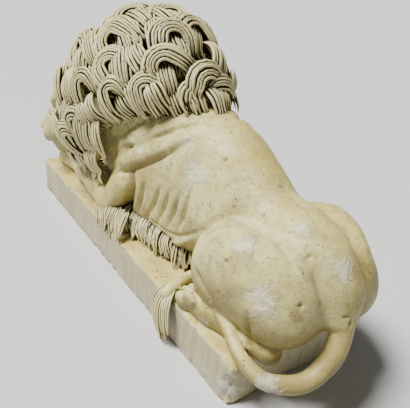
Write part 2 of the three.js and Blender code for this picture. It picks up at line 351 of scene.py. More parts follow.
def put(verts, points):
    for vert, point in zip(verts, points):
        vert.co = point * MM


def wrap(bm, form, start, end, sides, rings, cap=0.22):
    verts, along, around = ball_in(bm, sides, rings)
    foot = np.array(start, float)
    run = np.array(end, float) - foot
    axis = unit(run)
    side = unit(np.cross(axis, (0, 0, 1)))
    lift = np.cross(side, axis)
    share = np.clip((along - cap) / (1 - 2 * cap), 0, 1)
    quarters = np.where(along < 0.5, np.minimum(along / cap, 1), 2 - np.minimum((1 - along) / cap, 1))
    tilt = quarters * math.pi / 2
    ways = -np.cos(tilt)[:, None] * axis + np.sin(tilt)[:, None] * (
        np.cos(around)[:, None] * side + np.sin(around)[:, None] * lift)
    put(verts, outermost(form, foot + share[:, None] * run, ways))


# %% [markdown]
# The mane's own mass sits under the hair. Its skin is kept a few millimetres low, so that the gaps between
# the locks are deep and dark, as a drill leaves them.

# %% Skins of the body, head and legs
dome = melt(
    20,
    lump((52, 2, 130), (88, 60, 94)),
    lump((98, 18, 130), (52, 52, 62), (0, 0, FACE_TURN)))
UNDER_HAIR = 8.0

clay = bmesh.new()
wrap(clay, rump, (-170, 0, 84), (60, 0, 96), 130, 160)
wrap(clay, shrunk(dome, UNDER_HAIR), (40, 0, 120), (100, 18, 124), 60, 60)
head_start, head_end = on_head([(-6, 0, 0), (58, 0, -6)])
wrap(clay, lambda points: head(to_head(points)), head_start, head_end, 120, 120, 0.34)
for side in both_sides:
    wrap(clay, foreleg(side), (40, side * 55, 55), (166, side * FORE_SIDE, 50), 48, 90, 0.14)
    wrap(clay, hind_foot(side), (-192, side * 43, 48), (-116, side * HIND_SIDE, 48), 48, 70, 0.2)
print("clay has", len(clay.verts), "points")

# %% [markdown]
# ## Sweeps
# The tail is swept along a path, and so is each strand of hair later on. Again a ball of quads is used,
# because it closes at both ends by itself. Its rings follow the path, and a direction that is carried along
# the path keeps them from twisting.


# %% Paths and sweeps
def path_through(points, count):
    knots = np.array(points, float)
    ends = np.vstack([2 * knots[0] - knots[1], knots, 2 * knots[-1] - knots[-2]])
    spans = []
    for first, second, third, fourth in zip(ends, ends[1:], ends[2:], ends[3:]):
        t = np.linspace(0, 1, 24, endpoint=False)[:, None]
        spans.append(0.5 * (2 * second + (third - first) * t
                            + (2 * first - 5 * second + 4 * third - fourth) * t ** 2
                            + (3 * second - first - 3 * third + fourth) * t ** 3))
    dense = np.vstack(spans + [knots[-1:]])
    return evenly(dense, count)


def evenly(points, count):
    steps = np.linalg.norm(np.diff(points, axis=0), axis=1)
    travel = np.concatenate([[0], np.cumsum(steps)])
    wanted = np.linspace(0, travel[-1], count)
    return np.column_stack([np.interp(wanted, travel, points[:, axis]) for axis in range(3)])


def sample(rows, share):
    at = np.clip(share, 0, 1) * (len(rows) - 1)
    return np.column_stack([np.interp(at, np.arange(len(rows)), rows[:, axis]) for axis in range(3)])


def carried_along(path, first):
    runs = unit(np.gradient(path, axis=0))
    outs = []
    out = np.array(first, float)
    for run in runs:
        out = unit(out - run * (out @ run))
        outs.append(out)
    return np.array(outs)


def sweep(bm, path, outs, radius, sides, rings, cap):
    verts, along, around = ball_in(bm, sides, rings)
    run = unit(sample(path, along + 0.02) - sample(path, along - 0.02))
    side = unit(np.cross(run, sample(outs, along)))
    lift = np.cross(side, run)
    closing = np.clip(np.minimum(along, 1 - along) / cap, 0, 1)
    closing = np.sqrt(1 - (1 - closing) ** 2)
    points = sample(path, along)
    points += side * (np.cos(around) * radius(along) * closing)[:, None]
    points += lift * (np.sin(around) * radius(along) * closing)[:, None]
    put(verts, points)


# %% [markdown]
# ## The tail
# The tail leaves the rump thick, swings out behind the plinth, lies along the hind foot and comes out under
# the knee, where its tuft drops over the plinth's edge.

# %% Tail
TAIL_RADIUS = 8.5
tail_path = path_through([
    (-186, -3, 108), (-206, -2, 98), (-220, 4, 80), (-227, 13, 62), (-227, 23, 50), (-226, 35, 44),
    (-221, 48, 43), (-208, 61, 43), (-188, 64, 47), (-168, 60, 53), (-148, 56, 58), (-126, 48, 58),
    (-106, 38, 52), (-94, 32, 47), (-93, 44, 46), (-97, 58, 47), (-100, 69, 46), (-102, 76, 40)], 160)


def tail_radius(along):
    root = 1 + 0.9 * (1 - smoothstep(along, 0, 0.17))
    return TAIL_RADIUS * root * (1 - 0.4 * smoothstep(along, 0.12, 0.6))


sweep(clay, tail_path, carried_along(tail_path, (0, 1, 0)), tail_radius, 28, 150, 0.02)
print("tail length:", np.linalg.norm(np.diff(tail_path, axis=0), axis=1).sum().round(), "mm")

# %% [markdown]
# ## One block
# The plinth is a plain block with rubbed arrises. A voxel remesh then fuses all the skins into one closed
# surface with small fillets where they meet, which is how a chisel leaves them.

# %% Plinth and fusing
VOXEL = 1.25 * MM
RUBBED = 2.5 * MM
block = bmesh.ops.create_cube(clay, size=1)["verts"]
bmesh.ops.scale(clay, verts=block, vec=[size * MM for size in PLINTH])
bmesh.ops.translate(clay, verts=block, vec=(0, 0, TOP * MM / 2))
block_edges = list({edge for vert in block for edge in vert.link_edges})
bmesh.ops.bevel(
    clay, geom=block_edges, offset=RUBBED, affect="EDGES", segments=3, profile=0.5, material=-1)
bmesh.ops.recalc_face_normals(clay, faces=clay.faces)

lion = bpy.data.objects.new("lion_and_plinth", bpy.data.meshes.new("lion_and_plinth"))
clay.to_mesh(lion.data)
clay.free()
bpy.context.scene.collection.objects.link(lion)


def settle_modifiers(piece):
    made = piece.evaluated_get(bpy.context.evaluated_depsgraph_get())
    mesh = bpy.data.meshes.new_from_object(made)
    piece.modifiers.clear()
    piece.data = mesh


fuse = lion.modifiers.new("fuse", "REMESH")
fuse.mode = "VOXEL"
fuse.voxel_size = VOXEL
soften = lion.modifiers.new("soften", "SMOOTH")
soften.factor = 0.5
soften.iterations = 3
settle_modifiers(lion)
print("fused skin:", len(lion.data.vertices), "points")

# %% [markdown]
# ## Small cuts
# Now single points of the fused skin are moved along their normals: in for a cut, out for a ridge. Each cut
# is a path with a width and a depth. The cuts that the photograph shows are placed by its pixels: a ray from
# the camera through the pixel finds the place on the stone, and the far side gets the same cut mirrored.


# %% The carving tool
def columns(of, name):
    flat = np.empty(len(of) * 3, np.float32)
    of.foreach_get(name, flat)
    return flat.reshape(-1, 3).astype(float)


skin = columns(lion.data.vertices, "co") / MM
skin_out = columns(lion.data.vertex_normals, "vector")
moved = np.zeros(len(skin))


def seen_at(pixel):
    across = (pixel[0] - IMAGE_WIDTH / 2) / FOCAL_PIXELS
    down = (pixel[1] - IMAGE_HEIGHT / 2) / FOCAL_PIXELS
    way = camera_right * across - camera_up * down - camera_back
    found, place = lion.ray_cast(CAMERA_PLACE, way.normalized())[:2]
    return np.array(place) / MM if found else None


def seen_path(pixels):
    return [place for place in map(seen_at, pixels) if place is not None]


def mirrored(points):
    return [np.array(point) * (1, -1, 1) for point in points]


def reach_to(points, path, limit):
    near = np.full(len(points), np.inf)
    share = np.zeros(len(points))
    inside = np.all((points > path.min(0) - limit) & (points < path.max(0) + limit), axis=1)
    chosen = np.flatnonzero(inside)
    for index, (start, end) in enumerate(zip(path, path[1:])):
        run = end - start
        along = np.clip((points[chosen] - start) @ run / max(run @ run, 1e-9), 0, 1)
        gap = np.linalg.norm(points[chosen] - start - along[:, None] * run, axis=1)
        closer = gap < near[chosen]
        near[chosen[closer]] = gap[closer]
        share[chosen[closer]] = (index + along[closer]) / (len(path) - 1)
    return near, share


def cut(points, width, depth, sharp=1.5):
    path = path_through(points, 20)
    near, share = reach_to(skin, path, width * 2)
    taper = np.sin(math.pi * np.clip(share, 0.05, 0.95)) ** 0.5
    moved[:] -= depth * taper * np.clip(1 - near / width, 0, 1) ** sharp


def swell(points, width, height):
    path = path_through(points, 20)
    near, share = reach_to(skin, path, width * 1.5)
    taper = np.sin(math.pi * np.clip(share, 0.02, 0.98)) ** 0.5
    moved[:] += height * taper * (1 - smoothstep(near, 0.1 * width, width))


def dent(centre, radius, depth):
    close = np.flatnonzero(np.all(np.abs(skin - np.array(centre, float)) < radius, axis=1))
    near = np.linalg.norm(skin[close] - centre, axis=1)
    moved[close] -= depth * (1 - smoothstep(near, 0.3 * radius, radius))


# %% Ribs, rolls of skin and creases
RIB_WIDTH = 3.8
RIB_DEPTH = 3.2
RIB_PIXELS = [
    [(144, 184), (141, 198), (139, 212)],
    [(160, 188), (153, 206), (147, 219)],
    [(170, 191), (163, 210), (157, 224)],
    [(180, 195), (173, 214), (167, 228)],
    [(191, 193), (184, 214), (178, 229)]]
CREASE_PIXELS = [
    # path of the crease, its width, its depth
    ([(100, 162), (130, 147), (160, 136), (190, 127), (214, 122)], 3.8, 5.0),
    ([(112, 174), (130, 170), (160, 158), (190, 142)], 3.8, 4.8),
    ([(132, 172), (131, 190), (129, 206), (126, 218)], 7.0, 9.0),
    ([(146, 216), (162, 229), (182, 236), (204, 230)], 3.6, 1.8),
    ([(247, 314), (248, 330), (249, 345)], 4.5, 3.6),
    ([(196, 272), (203, 289), (213, 306)], 6.0, 4.0),
    ([(205, 232), (226, 216), (250, 217)], 6.0, 2.0),
    ([(250, 214), (270, 230), (288, 254), (300, 280)], 20.0, 4.5),
    ([(335, 206), (350, 232), (359, 252), (368, 284)], 13.0, 3.4)]
SWELL_PIXELS = [
    # path of the swelling, its width, its height
    ([(108, 152), (136, 138), (168, 127), (200, 119)], 13.0, 3.0),
    ([(110, 168), (134, 158), (162, 147), (190, 135), (210, 129)], 11.0, 4.5),
    ([(116, 178), (118, 194), (114, 210)], 14.0, 4.0),
    ([(140, 222), (158, 236), (180, 243), (206, 236)], 6.0, 2.4),
    ([(228, 232), (238, 262), (252, 294)], 24.0, 3.0)]
for pixels, width, height in SWELL_PIXELS:
    roll = seen_path(pixels)
    for line in (roll, mirrored(roll)):
        swell(line, width, height)
for pixels in RIB_PIXELS:
    rib = seen_path(pixels)
    for line in (rib, mirrored(rib)):
        cut(line, RIB_WIDTH, RIB_DEPTH, 1.2)
for pixels, width, depth in CREASE_PIXELS:
    crease = seen_path(pixels)
    for line in (crease, mirrored(crease)):
        cut(line, width, depth)
print("deepest cut on the body:", moved.min().round(1), "mm")

# %% Clefts between the toes
CLEFT_WIDTH = 3
for side in both_sides:
    for gap in (-1, 0, 1):
        fore = side * FORE_SIDE + gap * FORE_TOE_STEP
        fore_path = [(154, 61.5), (163, 59), (172, 53), (180, 47), (182, 43)]
        cut([(x, fore, z) for x, z in fore_path], CLEFT_WIDTH, 2.4)
        hind = side * HIND_SIDE + gap * HIND_TOE_STEP
        hind_path = [(-136, 60), (-127, 60), (-118, 55), (-109, 50), (-104, 44)]
        cut([(x, hind, z) for x, z in hind_path], CLEFT_WIDTH, 3)
print("clefts on each foot:", TOES - 1)

# %% The face's cuts
WHISKER_ROWS = 3
WHISKER_HOLES = 4
for side in both_sides:
    lips = [(42, side * 26, -14), (56, side * 23, -19), (70, side * 17, -18), (83, side * 4, -14)]
    cut(on_head(lips), 3, 3.2)
    nostril = [(84, side * 3.5, 5), (86, side * 7, 2), (82, side * 11, 0)]
    cut(on_head(nostril), 3, 2.6)
    eye_slit = [(36, side * 25, 9.6), (43, side * 25.5, 10), (49, side * 20, 9.6), (52, side * 13, 9)]
    cut(on_head(eye_slit), 1.8, 1.4)
    for row in range(WHISKER_ROWS):
        for hole in range(WHISKER_HOLES):
            dent(on_head([(60 + hole * 5, side * (23 - hole * 1.6), -4 - row * 4)])[0], 2.2, 0.8)
cut(on_head([(85, 0, 0), (84, 0, -7), (82, 0, -13)]), 2.4, 2)
print("whisker holes:", len(both_sides) * WHISKER_ROWS * WHISKER_HOLES)

# %% [markdown]
# ## Wear
# The arrises of the plinth are knocked, one corner is broken, and the smooth coat is faintly uneven. Solid
# noise decides where stone is missing, so the damage looks random but comes out the same each time.

# %% Knocked arrises
KNOCK_DEPTH = 3.0


def noise_at(points, scale):
    return np.array([noise.noise(Vector(point) / scale) for point in points])


half = np.array((PLINTH[0] / 2, PLINTH[1] / 2))
gaps = np.column_stack([
    half[0] - np.abs(skin[:, 0]), half[1] - np.abs(skin[:, 1]), np.minimum(TOP - skin[:, 2], skin[:, 2])])
gaps = np.sort(np.abs(gaps), axis=1)
on_arris = np.clip(1 - (gaps[:, 0] + gaps[:, 1]) / 7, 0, 1) * (skin[:, 2] < TOP + 1)
arris = np.flatnonzero(on_arris > 0)
large_knocks = np.clip(noise_at(skin[arris], 9) * 1.7 - 0.1, 0, 1)
small_knocks = np.clip(noise_at(skin[arris], 3.5), 0, 1)
moved[arris] -= KNOCK_DEPTH * on_arris[arris] * (large_knocks + 0.35 * small_knocks)
dent((-190, 71, 22), 12, 4)
dent((-188, 71, 8), 9, 3)
print("points along the plinth's arrises:", len(arris))

# %% Pits, the crack at the tail and the uneven coat
chance = np.random.RandomState(11)
PITTED_PIXELS = [
    # middle of the patch, its spread, the number of pits
    ((302, 231), 6, 14), ((193, 174), 11, 26), ((262, 301), 10, 20), ((268, 388), 10, 18)]
for pixel, spread, count in PITTED_PIXELS:
    middle = seen_at(pixel)
    if middle is None:
        continue
    for pit in range(count):
        dent(middle + chance.normal(0, spread * 0.55, 3), chance.uniform(2.0, 3.6), chance.uniform(0.5, 1.1))
LONE_PITS = [(282, 187), (301, 306), (317, 196), (310, 256), (228, 262), (226, 160)]
for pixel in LONE_PITS:
    middle = seen_at(pixel)
    if middle is not None:
        dent(middle, 2.6, 1.8)
cut(seen_path([(343, 318), (352, 316), (361, 317)]), 2.4, 2.0)
cut(seen_path([(353, 317), (351, 324), (348, 330)]), 2.2, 1.6)
moved += 0.3 * noise_at(skin, 24)

skin += skin_out * moved[:, None]
skin[:, 2] = np.maximum(skin[:, 2], 0)
lion.data.vertices.foreach_set("co", (skin * MM).astype(np.float32).ravel())
lion.data.update()

BODY_TRIANGLES = 160000
thin = lion.modifiers.new("thin", "DECIMATE")
thin.ratio = min(1.0, BODY_TRIANGLES / (2 * len(lion.data.polygons)))
settle_modifiers(lion)
print("carved skin:", len(lion.data.polygons), "faces")

# %% [markdown]
# ## Hair
# The hair springs from the crown, runs back from the face and falls with its weight. A hair's path is found
# from its end: from the hem of the mane, step by step over the surface and against the fall of the hair, up
# to the face. Locks are then laid on these paths in rows, like tiles, the upper row over the lower.

# %% Following the hair over the mane
HAIR_STEP = 3.0
HAIR_STEPS = 90
mane_form = melt(8, dome, trunk)
face_way = unit(on_head([(1, 0, 0.1)])[0] - HEAD_PLACE)
hair_fall = unit(-0.2 * face_way + np.array((-0.55, 0, -0.8)))


def outward(points):
    here = mane_form(points)
    rise = [mane_form(points + np.eye(3)[axis] * 0.4) - here for axis in range(3)]
    return unit(np.column_stack(rise))


def settled(points):
    for turn in range(4):
        points = points - outward(points) * mane_form(points)[:, None]
    return points


def hairs_up_from(seeds):
    at = settled(seeds)
    places, outs, ups, alive = [], [], [], []
    growing = np.ones(len(seeds), bool)
    for step in range(HAIR_STEPS):
        out = outward(at)
        up = -hair_fall - out * (-hair_fall @ out.T)[:, None]
        growing &= (to_head(at)[:, 0] < 20) & (np.linalg.norm(up, axis=1) > 0.12)
        up = unit(up)
        places.append(at)
        outs.append(out)
        ups.append(up)
        alive.append(growing.copy())
        at = np.where(growing[:, None], settled(at + up * HAIR_STEP), at)
    lengths = np.sum(alive, axis=0)
    return np.array(places), np.array(outs), np.array(ups), lengths


def half_hem(side):
    return [(-43, side * 18, 167), (-10, side * 39, 158), (16, side * 52, 148), (48, side * 60, 126),
            (66, side * 64, 96), (76, side * 66, 66), (96, side * 64, 50)]


hem_back = [(-58, 0, 176)]
hem_front = [(140, 30, 48), (146, -10, 48)]
hem = path_through(hem_back + half_hem(1) + hem_front + half_hem(-1)[::-1] + hem_back, 400)
HEM_LENGTH = np.linalg.norm(np.diff(hem, axis=0), axis=1).sum()
print("hem of the mane:", HEM_LENGTH.round(), "mm")

# %% [markdown]
# Each lock is a sheaf of thick strands that lie side by side, like bent cords. It springs from under the
# lock above, bulges, and falls. One strand is a ball of quads drawn out into a tube. An Array modifier makes
# as many copies as there are strands, and then each copy's points are laid along its own path. That is far
# quicker than growing one bmesh strand by strand. The hair becomes four meshes, so that none is too heavy.

# %% One strand and its copies
STRAND_SIDES = 5
STRAND_RINGS = 16
STRAND_TIP = 0.75
strand_clay = bmesh.new()
ball_in(strand_clay, STRAND_SIDES, STRAND_RINGS)
strand_mesh = bpy.data.meshes.new("strand")
strand_clay.to_mesh(strand_mesh)
strand_clay.free()
ball = columns(strand_mesh.vertices, "co")
strand_along = np.arccos(np.clip(ball[:, 2], -1, 1)) / math.pi
strand_around = np.arctan2(ball[:, 1], ball[:, 0])
strands = []
grooves = []
pieces = [lion]


def keep(piece, name, values):
    layer = piece.data.attributes.get(name) or piece.data.attributes.new(name, "FLOAT", "POINT")
    layer.data.foreach_set("value", np.asarray(values, np.float32))


def hair_piece(name):
    piece = bpy.data.objects.new(name, strand_mesh.copy())
    bpy.context.scene.collection.objects.link(piece)
    copies = piece.modifiers.new("copies", "ARRAY")
    copies.count = len(strands)
    copies.use_relative_offset = False
    copies.use_constant_offset = True
    copies.constant_offset_displace = (0.1, 0, 0)
    settle_modifiers(piece)
    piece.data.vertices.foreach_set("co", (np.vstack(strands) * MM).astype(np.float32).ravel())
    piece.data.update()
    keep(piece, "groove", np.concatenate(grooves))
    pieces.append(piece)
    print(name, "has", len(strands), "strands")
    strands.clear()
    grooves.clear()


def strand_frame(path, outs):
    run = unit(sample(path, strand_along + 0.04) - sample(path, strand_along - 0.04))
    return run, unit(np.cross(run, sample(outs, strand_along)))


def lay_strand(path, outs, radius):
    run, side = strand_frame(path, outs)
    lift = np.cross(side, run)
    closing = np.clip(np.minimum(strand_along, 1 - strand_along) / 0.1, 0, 1)
    taper = 1 - (1 - STRAND_TIP) * smoothstep(strand_along, 0.55, 1)
    thick = radius * np.sqrt(1 - (1 - closing) ** 2) * taper
    points = sample(path, strand_along)
    points += side * (np.cos(strand_around) * thick)[:, None]
    points += lift * (np.sin(strand_around) * thick)[:, None]
    strands.append(points)
    grooves.append(0.5 - 0.5 * np.sin(strand_around))


# %% [markdown]
# The strands of a lock start close together, spread over the bulge and close up again, or stay spread like a
# comb in the lowest row. The middle strands lie higher than the outer ones. A flat core under them keeps the
# light from showing through.


# %% A lock of strands
def lay_lock(path, outs, width, crown, root=0.45, tip=0.45, pitch=3.0, ragged=0.08, cored=True):
    count = int(np.clip(round(2 * width / pitch), 3, 10))
    t = np.linspace(0, 1, len(path))
    run = unit(np.gradient(path, axis=0))
    side = unit(np.cross(run, outs))
    fan = root + (1 - root) * smoothstep(t, 0, 0.4) - (1 - tip) * smoothstep(t, 0.55, 1)
    arch = 0.5 + 0.5 * np.sin(math.pi * t)
    for strand in range(count):
        offset = (2 * strand + 1) / count - 1
        wave = 0.25 * pitch * np.sin(math.tau * (t * chance.uniform(0.6, 1.1) + chance.uniform(0, 1)))
        height = crown * arch * math.sqrt(1 - 0.85 * offset * offset) + chance.uniform(-0.5, 0.5)
        own = path + side * (offset * width * fan + wave)[:, None] + outs * height[:, None]
        end = len(own) - int(len(own) * chance.uniform(0, 2 * ragged))
        lay_strand(own[:end], outs[:end], pitch * 0.52)
    if cored:
        lay_core(path, outs, width * 0.8, crown * 0.6)


def lay_core(path, outs, width, height):
    side = strand_frame(path, outs)[1]
    closing = np.sin(math.pi * strand_along) ** 0.5
    closing *= 1 - 0.35 * smoothstep(strand_along, 0.6, 1)
    points = sample(path, strand_along * 0.92 + 0.03)
    points += side * (np.cos(strand_around) * width * closing)[:, None]
    points += sample(outs, strand_along) * ((0.2 + np.sin(strand_around)) * height * closing)[:, None]
    strands.append(points)
    grooves.append(np.ones(len(points)))


print("points in a strand:", len(ball))

# %% Rows of locks
SHORTEST_LOCK = 7
LOCK_ROWS = [
    # reach from the hem, spacing at the hem, length, lift, sway, how the tip closes
    (0, 17, 36, 12, 0.2, 1.0),
    (23, 21, 46, 12, 0.5, 0.7),
    (48, 25, 56, 12, 0.7, 0.6),
    (76, 29, 62, 11, 0.8, 0.5),
    (106, 36, 64, 10, 0.9, 0.5),
    (138, 46, 62, 8, 0.8, 0.5),
    (170, 60, 56, 7, 0.6, 0.5),
]


def lay_row(level, reach, spacing, length, lift, sway, tip_fan):
    count = round(HEM_LENGTH / spacing)
    loose = 0.16 if level else 0.05
    shares = (np.arange(count) + 0.5 * (level % 2) + chance.uniform(-loose, loose, count)) / count
    places, outs, ups, lengths = hairs_up_from(sample(hem, shares % 1))
    laid = 0
    for line in range(count):
        tip = round((reach + chance.uniform(-0.15, 0.15) * length) / HAIR_STEP) if level else 0
        root = tip + round(length * chance.uniform(0.9, 1.2) / HAIR_STEP)
        root = min(root, lengths[line] + 2, len(places) - 1)
        if root - tip < SHORTEST_LOCK:
            continue
        steps = np.arange(root, tip - 1, -1)
        base, out, up = places[steps, line], outs[steps, line], ups[steps, line]
        middle = (root + tip) // 2
        neighbours = [places[middle, (line + way) % count] for way in (1, -1)]
        room = np.mean([np.linalg.norm(places[middle, line] - other) for other in neighbours])
        width = np.clip(room * chance.uniform(0.46, 0.58), 5.0, 13.0)
        t = np.linspace(0, 1, len(steps))
        hand = chance.choice((-1, 1))
        across = np.cross(out, up)
        bend = np.sin(math.pi * (0.1 + 1.15 * t)) * 0.6 + 0.7 * smoothstep(t, 0.55, 1)
        bulge = np.sin(math.pi * (0.05 + 0.95 * t) ** 0.68)
        rise = lift * chance.uniform(0.45, 1.35) * bulge - 6 * (1 - t) ** 2
        rise -= (2.5 if level else 7) * smoothstep(t, 0.65, 1)
        if level:
            rise = np.maximum(rise, 2 * smoothstep(t, 0.4, 0.8))
        twist = length * chance.uniform(-0.4, 0.4) * (t - 0.3) if level else 0 * t
        path = base + across * (hand * sway * width * bend + twist)[:, None] + out * rise[:, None]
        lay_lock(path, out, width, 0.5 * width, tip=tip_fan)
        laid += 1
    return laid


lock_count = sum(lay_row(level, *row) for level, row in enumerate(LOCK_ROWS))
print("locks in the mane:", lock_count)
hair_piece("mane_locks")

# %% [markdown]
# Between the plain locks lie loops: locks that rise, turn over in a tight arch and fall again, with a dark
# hole under the arch. They lie on top and break up the rows.

# %% Loops over the rows
LOOP_POINTS = 36
LOOP_SHAPE = [
    # across and up, in radii of the loop
    (-1.0, -1.1), (-1.0, -0.1), (-0.7, 0.7), (0, 1.0), (0.7, 0.7), (1.0, -0.1), (1.2, -1.2), (1.1, -2.3)]


def lay_loop(centre, out, up, radius, width, lift, hand):
    across = np.cross(out, up) * hand
    turns = [centre + (across * aside + up * ahead) * radius for aside, ahead in LOOP_SHAPE]
    base = settled(path_through(turns, LOOP_POINTS))
    outs = outward(base)
    t = np.linspace(0, 1, LOOP_POINTS)
    rise = lift * np.sin(math.pi * np.clip(0.06 + 0.94 * t, 0, 1)) ** 0.7 - 3 * (1 - t) ** 3
    lay_lock(base + outs * rise[:, None], outs, width, 0.5 * width, 0.7, 0.6)


NEAR_HEM = 30
LOOP_ROWS = [
    # reach from the hem, number round the mane, radius, half width, lift
    (23, 16, 9.0, 7.5, 14),
    (44, 13, 10.5, 8.0, 16),
    (74, 13, 12.0, 9.0, 16),
    (104, 11, 13.0, 9.5, 14),
    (138, 9, 13.0, 9.5, 11),
    (170, 6, 12.0, 9.0, 9)]
for reach, count, radius, width, lift in LOOP_ROWS:
    shares = (np.arange(count) + chance.uniform(0.1, 0.9, count)) / count
    places, outs, ups, lengths = hairs_up_from(sample(hem, shares))
    for line in range(count):
        loose = 9 if reach > NEAR_HEM else 3
        step = min(round((reach + chance.uniform(-loose, loose)) / HAIR_STEP), len(places) - 1)
        if step > lengths[line] - 4:
            continue
        size = chance.uniform(0.75, 1.2)
        lean = chance.uniform(-0.6, 0.6) if reach > NEAR_HEM else 0
        out, up = outs[step, line], ups[step, line]
        up = up * math.cos(lean) + np.cross(out, up) * math.sin(lean)
        lay_loop(places[step, line], out, up, radius * size, width * size, lift, chance.choice((-1, 1)))
hair_piece("mane_loops")

# %% [markdown]
# Beside the cheeks the hair hangs straight down over the forelegs in long locks, one behind the other.

# %% Long locks beside the cheeks
HANGING_POINTS = 24
CHEEK_POINTS = 26
HANGING = [
    # top x and z, foot x and z, half width, lift
    (106, 150, 98, 80, 8, 9), (90, 156, 82, 76, 8.5, 10), (74, 156, 62, 84, 8.5, 10),
    (58, 150, 44, 92, 8.5, 9), (44, 148, 30, 98, 8, 8), (116, 104, 108, 60, 8, 7), (100, 100, 92, 60, 8, 8),
    (84, 102, 74, 60, 8.5, 8), (66, 106, 52, 64, 8.5, 9), (50, 114, 36, 70, 8, 8), (132, 92, 126, 60, 7, 6)]
for side in both_sides:
    for top_x, top_z, foot_x, foot_z, width, lift in HANGING:
        waist = ((top_x + foot_x) / 2 + chance.uniform(-6, 6), side * 72, (top_z + foot_z) / 2)
        fall = [(top_x, side * 70, top_z), waist, (foot_x, side * 72, foot_z)]
        base = settled(path_through(fall, HANGING_POINTS))
        out = outward(base)
        t = np.linspace(0, 1, HANGING_POINTS)
        rise = lift * np.sin(math.pi * (0.05 + 0.95 * t) ** 0.7) + 2 * t
        path = base + out * rise[:, None]
        path[:, 1] = side * np.maximum(side * path[:, 1], 44 + 20 * smoothstep(t, 0.2, 0.8))
        lay_lock(path, out, width, 0.5 * width, 0.5, 0.25, ragged=0.14)

CHEEK = [
    # place along the head, its half width there
    (-10, 40), (3, 39), (15, 37)]
for side in both_sides:
    for back, wide in CHEEK:
        path = path_through(on_head([
            (back - 4, side * (wide - 8), 34), (back, side * (wide + 1), 10), (back + 4, side * wide, -16),
            (back + 9, side * (wide - 8), -38), (back + 6, side * (wide - 14), -54)]), CHEEK_POINTS)
        out = np.tile(on_head([(0, side, -0.15)])[0] - HEAD_PLACE, (CHEEK_POINTS, 1))
        lay_lock(path, unit(out), 7.0, 3.0, 0.5, 0.6)
print("long locks:", len(both_sides) * (len(HANGING) + len(CHEEK)))
hair_piece("cheek_locks")

# %% [markdown]
# ## Fringe and tufts
# Short hair hangs under the belly in a curtain of thin locks, the elbow has a tuft that spills over the
# plinth, and the tail ends in a long one. They are the same strands, only thinner and with no core.

# %% Fringe
TUFT_POINTS = 24
TUFT_PITCH = 2.0


def tuft(points, width, crown, out, tip):
    path = path_through(points, TUFT_POINTS)
    outs = np.tile(unit(np.array(out, float)), (TUFT_POINTS, 1))
    lay_lock(path, outs, width, crown, 0.7, tip, TUFT_PITCH, 0.12, cored=False)


FRINGE_LOCKS = 34
for side in both_sides:
    fringe_hem = path_through([
        (8, side * 60, TOP), (-27, side * 55, TOP), (-48, side * 51, TOP), (-68, side * 44, TOP),
        (-90, side * 30, TOP)], 60)
    for lock in range(FRINGE_LOCKS):
        foot = sample(fringe_hem, np.array([(lock + chance.uniform(0.1, 0.9)) / FRINGE_LOCKS]))[0]
        lean = chance.uniform(-5, 5)
        start = (foot[0] + 7, foot[1] - side * 20, TOP + 26)
        over = (foot[0] + 2 + lean * 0.3, foot[1] - side * chance.uniform(4, 8), TOP + chance.uniform(12, 17))
        end = (foot[0] - 8 + lean, foot[1] + side * chance.uniform(-6, 2), TOP + 0.5)
        tuft([start, over, end], 3.2, 1.4, (0, side, 0.8), 0.4)
print("fringe locks:", len(both_sides) * FRINGE_LOCKS)

# %% Elbow and tail tufts
ELBOW_LOCKS = 9
for side in both_sides:
    for lock in range(ELBOW_LOCKS):
        x = 44 - lock * 6.5
        drop = chance.uniform(29, 41)
        hook = (x - 7 + chance.uniform(-4, 3), side * (EDGE + chance.uniform(0.5, 3)), drop)
        tuft([(x + 9, side * 56, 62), (x + 1, side * 66, 52), hook], 3.6, 2.2, (0, side, 0.8), 0.4)
TAIL_TUFT = [
    # shift along the plinth, distance from its side, height of the tip
    (-9, 0, 9), (-4.5, 2, 3), (0, 3, 1), (4.5, 2, 4), (9, 0, 11)]
for shift, stand, rise in TAIL_TUFT:
    tuft([
        (-99 + shift * 0.4, 66, 47), (-102 + shift * 0.8, EDGE + 4 + stand, 38),
        (-105 + shift, EDGE + 6 + stand, 20), (-111 + shift * 0.7, EDGE + 5 + stand, rise)],
        4.6, 2.6, (0, 1, 0.15), 0.45)
hair_piece("fringe_and_tufts")

for piece in pieces:
    for polygon in piece.data.polygons:
        polygon.use_smooth = True

# %% [markdown]
# ## Where dirt stays
# Dirt gathers where a brush can't reach. From each point of the skin a few short rays are sent out: the more
# of them that hit stone close by, the deeper the point lies. The share is kept on the mesh as an attribute
# that the stone's finish reads.

# %% Feeling for hollows with rays
RAY_LENGTH = 16 * MM
RAY_COUNT = 10


def all_polygons(pieces):
    verts, faces = [], []
    for piece in pieces:
        first = len(verts)
        verts.extend(vert.co.copy() for vert in piece.data.vertices)
        faces.extend([first + index for index in polygon.vertices] for polygon in piece.data.polygons)
    return verts, faces


stone_tree = BVHTree.FromPolygons(*all_polygons(pieces))
golden = math.pi * (3 - math.sqrt(5))
ray_fan = []
for ray in range(RAY_COUNT):
    height = 1 - 0.8 * (ray + 0.5) / RAY_COUNT
    spread = math.sqrt(1 - height * height)
    ray_fan.append(Vector((spread * math.cos(golden * ray), spread * math.sin(golden * ray), height)))


def hollow_share(piece):
    shares = np.zeros(len(piece.data.vertices))
    for index, vert in enumerate(piece.data.vertices):
        turn = Vector((0, 0, 1)).rotation_difference(vert.normal).to_matrix()
        start = vert.co + vert.normal * 0.4 * MM
        total = 0.0
        for ray in ray_fan:
            distance = stone_tree.ray_cast(start, turn @ ray, RAY_LENGTH)[3]
            if distance is not None:
                total += 1 - distance / RAY_LENGTH
        shares[index] = total / RAY_COUNT
    return shares


